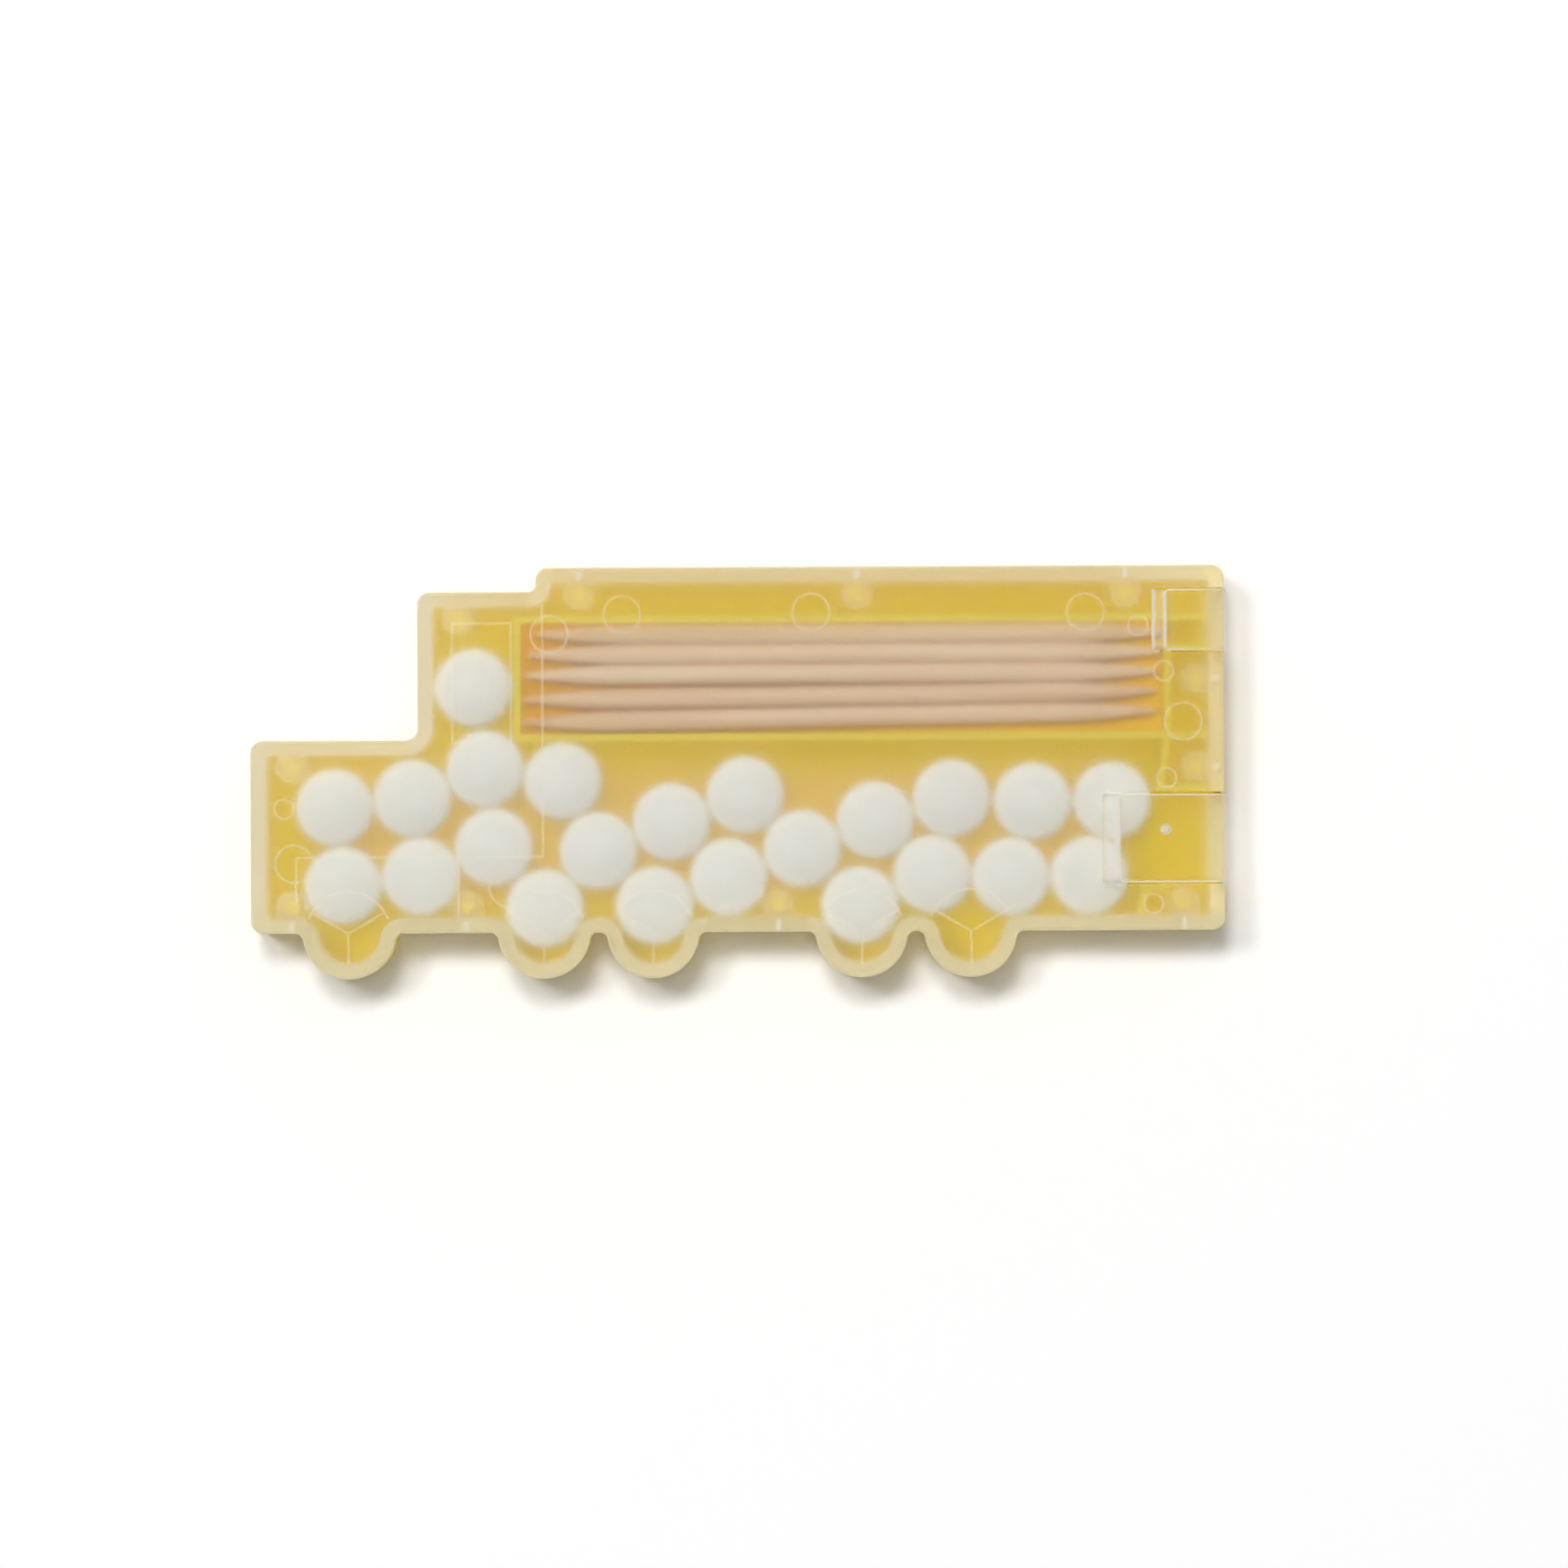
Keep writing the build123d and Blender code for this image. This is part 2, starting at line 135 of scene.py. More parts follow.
class Bench:
    """A small bench on which the nodes of a material or of the world are wired."""

    def __init__(self, owner: Owner) -> None:
        """Starts with no nodes.

        Args:
            owner: The material or the world.
        """
        owner.use_nodes = True
        self.owner = owner
        self.tree = owner.node_tree
        self.tree.nodes.clear()

    def node(self, kind: str, **settings: object) -> bpy.types.Node:
        """Adds a node.

        Args:
            kind: The node's type name.
            settings: Properties set on the node.

        Returns:
            The new node.
        """
        made = self.tree.nodes.new(kind)
        for key, value in settings.items():
            setattr(made, key, value)
        return made

    def feed(self, socket: Socket, value: object) -> None:
        """Links a socket to another one, or sets a plain value on it.

        Args:
            socket: The input socket.
            value: An output socket, a number or a colour.
        """
        if isinstance(value, Socket):
            self.tree.links.new(value, socket)
        elif isinstance(value, tuple) and len(value) == 3 and socket.type == "RGBA":
            socket.default_value = (*value, 1.0)
        else:
            socket.default_value = value

    def sum(self, operation: str, *values: Number, clamp: bool = False) -> Socket:
        """Works out one step of arithmetic.

        Args:
            operation: The Math node's operation.
            values: Its inputs in order.
            clamp: Whether the result is held between nought and one.

        Returns:
            The result's socket.
        """
        made = self.node("ShaderNodeMath", operation=operation, use_clamp=clamp)
        for socket, value in zip(made.inputs, values):
            self.feed(socket, value)
        return made.outputs[0]

    def smooth(self, value: Number, low: float, high: float) -> Socket:
        """Rises smoothly from nought to one between two values.

        Args:
            value: The value to follow.
            low: Where the rise starts.
            high: Where it ends, which may be lower than the start.

        Returns:
            The result's socket.
        """
        made = self.node("ShaderNodeMapRange", interpolation_type="SMOOTHSTEP")
        self.feed(made.inputs["Value"], value)
        made.inputs["From Min"].default_value = low
        made.inputs["From Max"].default_value = high
        return made.outputs["Result"]

    def spread(self, value: Number, low: Number, high: Number) -> Socket:
        """Maps nought to one onto a range of values.

        Args:
            value: The value to follow.
            low: What nought becomes.
            high: What one becomes.

        Returns:
            The result's socket.
        """
        made = self.node("ShaderNodeMapRange")
        self.feed(made.inputs["Value"], value)
        self.feed(made.inputs["To Min"], low)
        self.feed(made.inputs["To Max"], high)
        return made.outputs["Result"]

    def ramp(
        self, value: Number, places: Sequence[float], colours: Sequence[Colour], steps: bool = False
    ) -> Socket:
        """Looks a colour up on a ramp.

        Args:
            value: The place on the ramp, from nought to one.
            places: Where the colours stand on it.
            colours: The colours.
            steps: Whether each colour holds until the next stop.

        Returns:
            The colour's socket.
        """
        made = self.node("ShaderNodeValToRGB")
        made.color_ramp.interpolation = "CONSTANT" if steps else "LINEAR"
        points = made.color_ramp.elements
        while len(points) < len(places):
            points.new(1.0)
        for point, place, colour in zip(points, places, colours):
            point.position = place
            point.color = (*colour, 1.0)
        self.feed(made.inputs["Fac"], value)
        return made.outputs["Color"]

    def axes(self, kind: str) -> Sockets:
        """Splits coordinates into their axes.

        Args:
            kind: Which of the coordinates' outputs is split.

        Returns:
            The sockets of X, Y and Z.
        """
        split = self.node("ShaderNodeSeparateXYZ")
        self.feed(split.inputs[0], self.node("ShaderNodeTexCoord").outputs[kind])
        return split.outputs

    @cached_property
    def place(self) -> Sockets:
        """The place on the piece, in metres along X, Y and Z."""
        return self.axes("Object")

    @cached_property
    def upward(self) -> Socket:
        """How far a face looks to the front, from minus one to one."""
        return self.axes("Normal")["Z"]

    def cloud(self, pattern: Cloud) -> Socket:
        """Adds a cloudy value over the piece's own coordinates.

        Args:
            pattern: The pattern.

        Returns:
            The value's socket.
        """
        scaled = self.node("ShaderNodeVectorMath", operation="MULTIPLY")
        self.feed(scaled.inputs[0], self.node("ShaderNodeTexCoord").outputs["Object"])
        scaled.inputs[1].default_value = pattern.fineness
        made = self.node("ShaderNodeTexNoise")
        self.feed(made.inputs["Vector"], scaled.outputs["Vector"])
        made.inputs["Scale"].default_value = 1.0
        made.inputs["Detail"].default_value = pattern.detail
        made.inputs["Roughness"].default_value = pattern.strength
        return made.outputs["Fac"]

    def blend(self, factor: Number, first: Paint, second: Paint) -> Socket:
        """Mixes two colours.

        Args:
            factor: How much of the second colour there is.
            first: The first colour.
            second: The second colour.

        Returns:
            The colour's socket.
        """
        # A Mix node's sockets for colours come after those for its other kinds.
        made = self.node("ShaderNodeMix", data_type="RGBA")
        self.feed(made.inputs[0], factor)
        self.feed(made.inputs[6], first)
        self.feed(made.inputs[7], second)
        return made.outputs[2]

    def mixed(self, factor: Number, first: Socket, second: Socket) -> Socket:
        """Mixes two surfaces.

        Args:
            factor: How much of the second surface there is.
            first: The first surface.
            second: The second surface.

        Returns:
            The surface's socket.
        """
        made = self.node("ShaderNodeMixShader")
        self.feed(made.inputs[0], factor)
        self.feed(made.inputs[1], first)
        self.feed(made.inputs[2], second)
        return made.outputs[0]

    def bump(self, height: Socket, relief: Relief) -> Socket:
        """Turns a height into a bumped normal.

        Args:
            height: The height.
            relief: How far it stands out.

        Returns:
            The normal's socket.
        """
        made = self.node("ShaderNodeBump")
        made.inputs["Strength"].default_value = relief.strength
        made.inputs["Distance"].default_value = relief.depth
        self.feed(made.inputs["Height"], height)
        return made.outputs["Normal"]

    def lifted(self, normal: Socket, lift: float) -> Socket:
        """Turns a normal towards the front, so that shading changes less round a small piece.

        Light spreads inside sugar and wood, which softens their shading in this way.

        Args:
            normal: The normal to turn.
            lift: How much of the front's direction is added to it.

        Returns:
            The turned normal.
        """
        added = self.node("ShaderNodeVectorMath", operation="ADD")
        self.feed(added.inputs[0], normal)
        added.inputs[1].default_value = (0.0, 0.0, lift)
        turned = self.node("ShaderNodeVectorMath", operation="NORMALIZE")
        self.feed(turned.inputs[0], added.outputs["Vector"])
        return turned.outputs["Vector"]

    def surface(self, kind: str, **inputs: object) -> Socket:
        """Adds a surface.

        Args:
            kind: The end of the node's type name.
            inputs: What its inputs are fed, their names written with underscores.

        Returns:
            The surface's socket.
        """
        made = self.node("ShaderNodeBsdf" + kind)
        for key, value in inputs.items():
            self.feed(made.inputs[key.replace("_", " ")], value)
        return made.outputs[0]

    def seen(self) -> Socket:
        """Tells whether a ray comes from the camera, straight or by way of a sheen or clear plastic.

        Returns:
            One for such a ray and nought for others.
        """
        rays = self.node("ShaderNodeLightPath").outputs
        straight = self.sum("MAXIMUM", rays["Is Camera Ray"], rays["Is Glossy Ray"])
        return self.sum("MAXIMUM", straight, rays["Is Transmission Ray"])

    def lit_through(self, surface: Socket, lamp_share: Number, spread_share: Number, tint: Colour) -> Socket:
        """Lets light through a see-through surface, so that what lies behind it is lit.

        Args:
            surface: The surface as it is seen.
            lamp_share: How much of the lamps' light goes through.
            spread_share: How much of the light off dull surfaces goes through.
            tint: The colour that the light takes on.

        Returns:
            The surface with its light.
        """
        rays = self.node("ShaderNodeLightPath").outputs
        lamps = self.sum("MULTIPLY", rays["Is Shadow Ray"], lamp_share)
        spread = self.sum("MULTIPLY", rays["Is Diffuse Ray"], spread_share)
        clear = self.surface("Transparent", Color=tint)
        return self.mixed(self.sum("MAXIMUM", lamps, spread), surface, clear)

    def through_walls(self, shares: WallShares) -> Socket:
        """Says how much of the lamps' light goes into a wall, by the side of the case it stands on.

        Light that comes out of a wall from inside the plastic passes as it does through an open wall.

        Args:
            shares: The shares of the light for each side.

        Returns:
            The share for the place at hand.
        """
        off_tail = self.sum("LESS_THAN", self.place["X"], TAIL_WALL)
        off_chassis = self.sum("GREATER_THAN", self.place["Y"], CHASSIS_WALL)
        past_tail = self.spread(off_tail, shares.tail, shares.open)
        past_chassis = self.spread(off_chassis, shares.chassis, shares.open)
        into = self.sum("MINIMUM", past_tail, past_chassis)
        leaving = self.node("ShaderNodeNewGeometry").outputs["Backfacing"]
        return self.sum("MAXIMUM", into, self.sum("MULTIPLY", leaving, shares.open))

    def inside(self, zone: Zone) -> Socket:
        """Tells whether a place lies inside a zone of the plan.

        Args:
            zone: The zone.

        Returns:
            One inside the zone and nought outside it.
        """
        tests = []
        for axis, low, high in zip("XY", zone.low, zone.high):
            tests.append(self.smooth(self.place[axis], low, low + zone.soft))
            tests.append(self.smooth(self.place[axis], high, high - zone.soft))
        along = self.sum("MULTIPLY", tests[0], tests[1])
        across = self.sum("MULTIPLY", tests[2], tests[3])
        return self.sum("MULTIPLY", along, across)

    def close(self, surface: Socket, output: str = "ShaderNodeOutputMaterial") -> Owner:
        """Joins the surface to the output.

        Args:
            surface: The finished surface.
            output: The output's type name.

        Returns:
            The material or the world.
        """
        self.tree.links.new(surface, self.node(output).inputs["Surface"])
        return self.owner


@dataclass(frozen=True)
class YellowPlastic:
    """Clear yellow plastic of the rear shell: deep on the back plate, with painted light making it paler
    along the tops of the ribs.
    """

    name: str = "rear_shell_yellow_plastic"
    deep: Colour = (0.615, 0.46, 0.001)
    # Painted light: the ribs' tops lie close under the front plate and are painted paler, as if they catch
    # more light.
    rib_top_painted_light: Colour = (0.65, 0.53, 0.05)
    # Painted bounce light off the toothpicks warms the yellow beside them; between their tapered tips it
    # deepens to orange as painted shade.
    wood_painted_bounce: Colour = (0.77, 0.46, 0.0)
    wood_tips_painted_shade: Colour = (0.65, 0.335, 0.0)
    # Painted bounce light: among the mints the yellow is redder and paler, as light bounces between them.
    mints_painted_bounce: Colour = (0.66, 0.44, 0.085)
    upright: Colour = (0.82, 0.68, 0.13)
    seam: Colour = (0.635, 0.56, 0.365)
    # Painted light and shade on the seam: paler at the cab and the tail, darker along the chassis, away from
    # the lamps.
    cab_seam_painted_light: Colour = (0.61, 0.555, 0.425)
    tail_seam_painted_light: Colour = (0.73, 0.645, 0.40)
    chassis_seam_painted_shade: Colour = (0.59, 0.535, 0.363)
    plate_top: float = 1.2 * MM
    rib_top: float = 8.4 * MM
    seam_band: float = 0.1 * MM
    seam_level: float = 0.5
    level_turn: Range = (0.2, 0.8)
    flow: Cloud = Cloud((60.0, 150.0, 60.0), 3.0, 0.55)
    flow_play: Range = (0.92, 1.04)
    grain: Cloud = Cloud((2600.0, 2600.0, 2600.0), 2.0, 0.6)
    grain_relief: Relief = Relief(0.25, 0.02 * MM)
    roughness: Range = (0.34, 0.46)
    bending: float = 1.49
    sheen: float = 0.08
    glow: Range = (0.5, 0.12)
    walls: WallShares = WallShares(0.99, 0.03, 0.0)
    wall_spread_share: float = 0.3
    rib_spread_share: float = 0.9
    rib_zone: Zone = Zone((-23.2 * MM, -14.7 * MM), (48.1 * MM, 16.2 * MM))
    wood_zone: Zone = Zone((-22.2 * MM, 4.0 * MM), (43.7 * MM, 15.4 * MM))
    wood_fade: Range = (30.0 * MM, -14.0 * MM)
    mint_zone: Zone = Zone((-46.0 * MM, -15.0 * MM), (42.0 * MM, 3.0 * MM), 5.0 * MM)
    lamp_tint: Colour = (0.99, 0.96, 0.86)

    def make(self) -> bpy.types.Material:
        """Wires the finish.

        Returns:
            The material.
        """
        bench = Bench(bpy.data.materials.new(self.name))
        level = bench.sum("ABSOLUTE", bench.upward)
        on_seam = self.on_seam(bench, level)
        colour = bench.blend(bench.smooth(level, *self.level_turn), self.upright, self.plate_colour(bench))
        colour = bench.blend(on_seam, colour, self.seam_colour(bench))
        grain = bench.cloud(self.grain)
        surface = bench.surface(
            "Principled",
            Base_Color=colour,
            Roughness=bench.spread(grain, *self.roughness),
            IOR=self.bending,
            Specular_IOR_Level=self.sheen,
            Normal=bench.bump(grain, self.grain_relief),
        )
        behind = bench.surface("Translucent", Color=colour)
        surface = bench.mixed(bench.spread(level, *self.glow), surface, behind)
        raised = bench.sum("GREATER_THAN", bench.place["Z"], self.plate_top + self.seam_band)
        walls = bench.through_walls(self.walls)
        lamps = bench.sum("MAXIMUM", on_seam, bench.sum("MULTIPLY", raised, walls))
        ribs = bench.spread(bench.inside(self.rib_zone), self.wall_spread_share, self.rib_spread_share)
        spread = bench.sum("MAXIMUM", on_seam, bench.sum("MULTIPLY", raised, ribs))
        return bench.close(bench.lit_through(surface, lamps, spread, self.lamp_tint))

    def on_seam(self, bench: Bench, level: Socket) -> Socket:
        """Tells whether a face is the one that the front shell rests on, where both faces meet.

        Args:
            bench: The finish's bench.
            level: How level the face is.

        Returns:
            One on the seam and nought elsewhere.
        """
        off_seam = bench.sum("ABSOLUTE", bench.sum("SUBTRACT", bench.place["Z"], SEAM_HEIGHT))
        near = bench.sum("LESS_THAN", off_seam, self.seam_band)
        return bench.sum("MULTIPLY", near, bench.sum("GREATER_THAN", level, self.seam_level))

    def plate_colour(self, bench: Bench) -> Socket:
        """Mixes the colour of level faces, with painted bounce light by the wood and the mints and painted
        light up the ribs.

        Args:
            bench: The finish's bench.

        Returns:
            The colour's socket.
        """
        indoors = bench.sum("GREATER_THAN", bench.place["Z"], self.plate_top / 2)
        # Among the mints the yellow takes painted bounce light.
        mints_painted_bounce = bench.sum("MULTIPLY", indoors, bench.inside(self.mint_zone))
        # Beside the toothpicks the yellow takes painted bounce light off the wood, and painted shade between
        # the tips.
        wood_painted_bounce = bench.sum("MULTIPLY", indoors, bench.inside(self.wood_zone))
        at_tips = bench.smooth(bench.place["X"], *self.wood_fade)
        wood_painted_light = bench.blend(at_tips, self.wood_painted_bounce, self.wood_tips_painted_shade)
        deep = bench.blend(mints_painted_bounce, self.deep, self.mints_painted_bounce)
        deep = bench.blend(wood_painted_bounce, deep, wood_painted_light)
        # The tone turns paler up the ribs, painted light on their tops.
        rise = bench.smooth(bench.place["Z"], self.plate_top, self.rib_top)
        tinted = bench.node("ShaderNodeVectorMath", operation="SCALE")
        bench.feed(tinted.inputs[0], bench.blend(rise, deep, self.rib_top_painted_light))
        bench.feed(tinted.inputs["Scale"], bench.spread(bench.cloud(self.flow), *self.flow_play))
        return tinted.outputs["Vector"]

    def seam_colour(self, bench: Bench) -> Socket:
        """Mixes the colour of the seam in the rim, which turns round the case: painted light makes it paler
        at the cab and the tail, painted shade darker along the chassis.

        Args:
            bench: The finish's bench.

        Returns:
            The colour's socket.
        """
        seam = bench.blend(bench.smooth(bench.place["X"], *CAB_FADE), self.seam, self.cab_seam_painted_light)
        seam = bench.blend(bench.smooth(bench.place["X"], *TAIL_FADE), seam, self.tail_seam_painted_light)
        return bench.blend(bench.smooth(bench.place["Y"], *CHASSIS_FADE), seam, self.chassis_seam_painted_shade)


@dataclass(frozen=True)
class Level:
    """One height of level faces in the natural plastic.

    It says where the height starts, how milky the faces are, their colour, and how much of the milk lets the
    light from behind through.
    """

    start: float
    milk: float
    colour: Colour
    through: float = 0.35


PLATE_LEVELS = (
    Level(0.0 * MM, 0.75, (0.72, 0.66, 0.42)),
    Level(3.0 * MM, 1.0, (0.635, 0.56, 0.37)),
    Level(5.9 * MM, 0.45, (0.68, 0.60, 0.32)),
    Level(7.0 * MM, 0.95, (0.71, 0.70, 0.65), 0.2),
    Level(9.0 * MM, 0.01, (0.82, 0.78, 0.66)),
    Level(9.64 * MM, 0.55, (0.88, 0.86, 0.76)),
    Level(10.5 * MM, 0.33, (0.90, 0.88, 0.80), 0.5),
    Level(10.72 * MM, 0.11, (0.97, 0.96, 0.93), 0.97),
)
FLAP_LEVELS = (
    Level(0.0 * MM, 0.95, (0.66, 0.61, 0.42)),
    Level(9.0 * MM, 0.01, (0.82, 0.78, 0.66)),
    Level(10.5 * MM, 0.55, (0.88, 0.86, 0.80), 0.5),
    Level(10.72 * MM, 0.12, (0.97, 0.96, 0.93), 0.97),
)


@dataclass(frozen=True)
class NaturalPlastic:
    """Uncoloured milky plastic: frosted outside, clear below, cream where it meets the yellow rim."""

    name: str
    levels: tuple[Level, ...]
    level_turn: Range = (0.45, 0.9)
    side_milk: float = 0.65
    side_colour: Colour = (0.94, 0.86, 0.58)
    side_through: float = 0.6
    # Painted light and shade on the rim: paler at the cab and the tail, greyer along the chassis, away from
    # the lamps.
    cab_painted_light: Colour = (0.82, 0.80, 0.68)
    cab_painted_light_share: float = 0.35
    tail_painted_light: Colour = (0.84, 0.75, 0.45)
    tail_painted_light_share: float = 0.0
    chassis_painted_shade: Colour = (0.535, 0.505, 0.355)
    chassis_painted_shade_share: float = 0.45
    seam_top: float = 5.9 * MM
    haze: Cloud = Cloud((170.0, 170.0, 170.0), 3.0, 0.6)
    haze_play: Range = (0.75, 1.25)
    grain: Cloud = Cloud((2400.0, 2400.0, 2400.0), 3.0, 0.65)
    grain_relief: Relief = Relief(0.12, 0.01 * MM)
    frost: Range = (0.58, 0.41)
    fine_zone: Zone = Zone((-23.2 * MM, 3.0 * MM), (44.2 * MM, 16.4 * MM), 1.2 * MM)
    frost_play: float = 0.03
    polish: float = 0.08
    clear_tint: Colour = (1.0, 0.995, 0.975)
    bending: float = 1.22
    walls: WallShares = WallShares(0.98, 0.06, 0.04)
    spread_share: float = 0.45
    plate_share: float = 0.97
    lamp_tint: Colour = (0.985, 0.98, 0.955)
    full_height: float = 12.0 * MM
    underside: float = 9.9 * MM
    streak_start: Optional[float] = None
    streak_length: float = 1.7 * MM
    streak_lines: Cloud = Cloud((3200.0, 12.0, 12.0), 1.0, 0.5)
    streak_turn: Range = (0.45, 0.75)
    streak_milk: float = 0.22

    def make(self) -> bpy.types.Material:
        """Wires the finish.

        Returns:
            The material.
        """
        bench = Bench(bpy.data.materials.new(self.name))
        level = bench.smooth(bench.sum("ABSOLUTE", bench.upward), *self.level_turn)
        share = bench.sum("DIVIDE", bench.place["Z"], self.full_height)
        starts = [step.start / self.full_height for step in self.levels]
        milks = bench.ramp(share, starts, [grey(step.milk) for step in self.levels], steps=True)
        throughs = bench.ramp(share, starts, [grey(step.through) for step in self.levels], steps=True)
        colours = bench.ramp(share, starts, [step.colour for step in self.levels], steps=True)
        through = bench.blend(level, grey(self.side_through), throughs)
        colour = self.toned(bench, bench.blend(level, self.side_colour, colours))
        milk = bench.blend(level, grey(self.side_milk), milks)
        milk = bench.sum("MULTIPLY", milk, bench.spread(bench.cloud(self.haze), *self.haze_play), clamp=True)
        if self.streak_start is not None:
            milk = bench.sum("ADD", milk, self.streaks(bench), clamp=True)
        grain = bench.cloud(self.grain)
        normal = bench.bump(grain, self.grain_relief)
        clear = bench.surface(
            "Principled",
            Base_Color=self.clear_tint,
            Roughness=self.frosting(bench, grain),
            IOR=self.bending,
            Transmission_Weight=1.0,
            Normal=normal,
        )
        front = bench.surface("Diffuse", Color=colour, Normal=normal)
        body = bench.mixed(through, front, bench.surface("Translucent", Color=colour))
        surface = bench.mixed(milk, clear, body)
        level_share = bench.sum("MULTIPLY", level, self.plate_share)
        lamps = bench.sum("MAXIMUM", bench.through_walls(self.walls), level_share)
        spread = bench.sum("MAXIMUM", level_share, self.spread_share)
        return bench.close(bench.lit_through(surface, lamps, spread, self.lamp_tint))

    def toned(self, bench: Bench, colour: Socket) -> Socket:
        """Turns the colour round the case: painted light makes it paler at the cab and the tail, painted
        shade greyer along the chassis.

        Args:
            bench: The finish's bench.
            colour: The colour elsewhere.

        Returns:
            The colour's socket.
        """
        by_cab_light = bench.sum("MULTIPLY", bench.smooth(bench.place["X"], *CAB_FADE), self.cab_painted_light_share)
        colour = bench.blend(by_cab_light, colour, self.cab_painted_light)
        if self.tail_painted_light_share:
            by_tail_light = bench.sum("MULTIPLY", bench.smooth(bench.place["X"], *TAIL_FADE), self.tail_painted_light_share)
            colour = bench.blend(by_tail_light, colour, self.tail_painted_light)
        low = bench.sum("LESS_THAN", bench.place["Z"], self.seam_top)
        by_chassis_shade = bench.sum("MULTIPLY", bench.smooth(bench.place["Y"], *CHASSIS_FADE), low)
        by_chassis_shade = bench.sum("MULTIPLY", by_chassis_shade, self.chassis_painted_shade_share)
        return bench.blend(by_chassis_shade, colour, self.chassis_painted_shade)

    def frosting(self, bench: Bench, grain: Socket) -> Socket:
        """Works out the roughness: frosted on the front, finer over the toothpicks, polished inside.

        Args:
            bench: The finish's bench.
            grain: The fine pattern of the frost.

        Returns:
            The roughness.
        """
        on_top = bench.sum("GREATER_THAN", bench.place["Z"], self.underside)
        frost = bench.spread(bench.inside(self.fine_zone), *self.frost)
        frost = bench.sum("ADD", frost, bench.spread(grain, -self.frost_play, self.frost_play))
        rough = bench.sum("MULTIPLY", on_top, bench.sum("SUBTRACT", frost, self.polish))
        return bench.sum("ADD", rough, self.polish)

    def streaks(self, bench: Bench) -> Socket:
        """Adds faint whitened streaks beside the hinge.

        Args:
            bench: The finish's bench.

        Returns:
            How much milk the streaks add.
        """
        lines = bench.smooth(bench.cloud(self.streak_lines), *self.streak_turn)
        near = bench.smooth(bench.place["X"], self.streak_start + self.streak_length, self.streak_start)
        return bench.sum("MULTIPLY", bench.sum("MULTIPLY", lines, near), self.streak_milk)


@dataclass(frozen=True)
class WhitenedAndHighlitPlastic:
    """Natural plastic whitened by bending or cutting, and on the flaps' cut edges partly a painted
    highlight, as far as the piece's own whiteness says.
    """

    name: str = "whitened_and_highlit_plastic"
    white: Colour = (0.86, 0.85, 0.81)
    clear_tint: Colour = (1.0, 0.995, 0.98)
    frost: float = 0.28
    bending: float = 1.22
    grain: Cloud = Cloud((3000.0, 900.0, 3000.0), 2.0, 0.6)
    grain_relief: Relief = Relief(0.2, 0.01 * MM)
    mark_play: Range = (0.8, 1.2)
    through: float = 0.35
    lamp_share: float = 0.8
    spread_share: float = 0.8
    lamp_tint: Colour = (0.98, 0.98, 0.97)

    def make(self) -> bpy.types.Material:
        """Wires the finish.

        Returns:
            The material.
        """
        bench = Bench(bpy.data.materials.new(self.name))
        mark = bench.node("ShaderNodeAttribute", attribute_name="whiteness").outputs["Fac"]
        grain = bench.cloud(self.grain)
        milk = bench.sum("MULTIPLY", mark, bench.spread(grain, *self.mark_play), clamp=True)
        normal = bench.bump(grain, self.grain_relief)
        clear = bench.surface(
            "Principled",
            Base_Color=self.clear_tint,
            Roughness=self.frost,
            IOR=self.bending,
            Transmission_Weight=1.0,
            Normal=normal,
        )
        front = bench.surface("Diffuse", Color=self.white, Normal=normal)
        body = bench.mixed(self.through, front, bench.surface("Translucent", Color=self.white))
        surface = bench.mixed(milk, clear, body)
        return bench.close(bench.lit_through(surface, self.lamp_share, self.spread_share, self.lamp_tint))


@dataclass(frozen=True)
class PressedSugar:
    """Dull white of the mints, faintly speckled and a little uneven, with a painted glow low on their sides
    that stands in for light spreading inside the sugar.
    """

    name: str = "mint_sugar"
    white: Colour = (0.70, 0.715, 0.715)
    shade: Colour = (0.66, 0.675, 0.67)
    tone_turn: Range = (0.2, 0.55)
    lumps: Cloud = Cloud((420.0, 420.0, 420.0), 3.0, 0.6)
    specks: Cloud = Cloud((5200.0, 5200.0, 5200.0), 2.0, 0.7)
    lump_height: float = 2.0
    speck_height: float = 0.35
    relief: Relief = Relief(0.35, 0.05 * MM)
    lift: float = 2.0
    roughness: Range = (0.5, 0.75)
    bending: float = 1.4
    sheen: float = 0.2
    glow: Range = (0.4, 0.1)
    glow_turn: Range = (0.1, 0.8)
    # Painted light: a faint glow low on the mints' sides, standing in for light that spreads inside the
    # sugar.
    flank_painted_glow: Colour = (0.74, 0.72, 0.62)
    flank_strength: float = 0.5
    flank_top: Range = (0.85, 0.1)
    flank_foot: Range = (-0.6, -0.1)
    lamp_share: float = 0.9
    spread_share: float = 0.5
    lamp_tint: Colour = (0.98, 0.96, 0.92)

    def make(self) -> bpy.types.Material:
        """Wires the finish.

        Returns:
            The material.
        """
        bench = Bench(bpy.data.materials.new(self.name))
        lump = bench.cloud(self.lumps)
        speck = bench.cloud(self.specks)
        colour = bench.ramp(lump, self.tone_turn, (self.shade, self.white))
        height = bench.sum(
            "ADD",
            bench.sum("MULTIPLY", lump, self.lump_height),
            bench.sum("MULTIPLY", speck, self.speck_height),
        )
        painted_flank = bench.sum(
            "MULTIPLY",
            bench.smooth(bench.upward, *self.flank_top),
            bench.smooth(bench.upward, *self.flank_foot),
        )
        surface = bench.surface(
            "Principled",
            Base_Color=colour,
            Roughness=bench.spread(speck, *self.roughness),
            IOR=self.bending,
            Specular_IOR_Level=self.sheen,
            # The emission is painted light low on the sides.
            Emission_Color=self.flank_painted_glow,
            Emission_Strength=bench.sum("MULTIPLY", painted_flank, self.flank_strength),
            Normal=bench.lifted(bench.bump(height, self.relief), self.lift),
        )
        glow = bench.spread(bench.smooth(bench.upward, *self.glow_turn), *self.glow)
        surface = bench.mixed(glow, surface, bench.surface("Translucent", Color=colour))
        return bench.close(bench.lit_through(surface, self.lamp_share, self.spread_share, self.lamp_tint))


